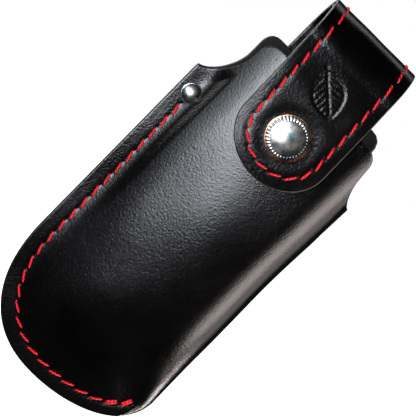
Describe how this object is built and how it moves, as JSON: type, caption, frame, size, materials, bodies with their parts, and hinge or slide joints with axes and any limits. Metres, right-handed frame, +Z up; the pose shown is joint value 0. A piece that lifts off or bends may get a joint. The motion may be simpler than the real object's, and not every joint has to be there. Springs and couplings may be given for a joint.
{
  "type": "belt sheath for a folding knife",
  "caption": "Upright leather belt sheath, folded on one side and sewn round the other, with a strap that makes a belt loop and closes over the mouth with a press stud.",
  "frame": {"origin": "middle of the belt channel, half way between the back panel and the belt loop", "axes": "+Z up towards the strap's bend, -Y the front with the press stud, +X right as seen from the front, along the belt"},
  "size_m": [0.0682, 0.0369, 0.1591],
  "materials": {
    "black_leather": "smooth, semi-gloss, fine grain",
    "strap_leather": "smooth, semi-gloss",
    "lining_leather": "suede split",
    "red_thread": "waxed braided thread",
    "nickel_plate": "polished nickel plate",
    "brass": "bare brass",
    "spring_steel": "bright wire"
  },
  "bodies": {
    "pouch": {"pouch_body": "black_leather", "seam_thread_front": "red_thread", "seam_thread_back": "red_thread", "seam_rivet_cap": "nickel_plate", "seam_rivet_base": "nickel_plate", "snap_stud": "nickel_plate", "snap_stud_post": "brass", "belt_loop_outer": "strap_leather", "belt_loop_lining": "lining_leather", "loop_edge_thread": "red_thread", "loop_cross_thread": "red_thread", "loop_inside_thread": "red_thread"},
    "riser": {"riser_outer": "strap_leather", "riser_lining": "lining_leather", "riser_thread_outer": "red_thread", "riser_thread_inner": "red_thread"},
    "tab": {"tab_outer": "strap_leather", "tab_lining": "lining_leather", "tab_thread_outer": "red_thread", "tab_thread_inner": "red_thread", "snap_cap": "nickel_plate", "snap_socket": "nickel_plate", "snap_spring": "spring_steel"}
  },
  "joints": [
    {"name": "riser_lean", "type": "hinge", "parent": "pouch", "child": "riser", "pos_m": [0, 0.0004, 0.041], "axis": [-1, 0, 0], "range_deg": [0, 24]},
    {"name": "tab_open", "type": "hinge", "parent": "riser", "child": "tab", "pos_m": [0, -0.0135, 0.0704], "axis": [-1, 0, 0], "range_deg": [0, 120], "deforming": ["snap_spring"]}
  ],
  "couplings": [
    {"joint": "riser_lean", "follows": "tab_open", "ratio": 0.2}
  ]
}
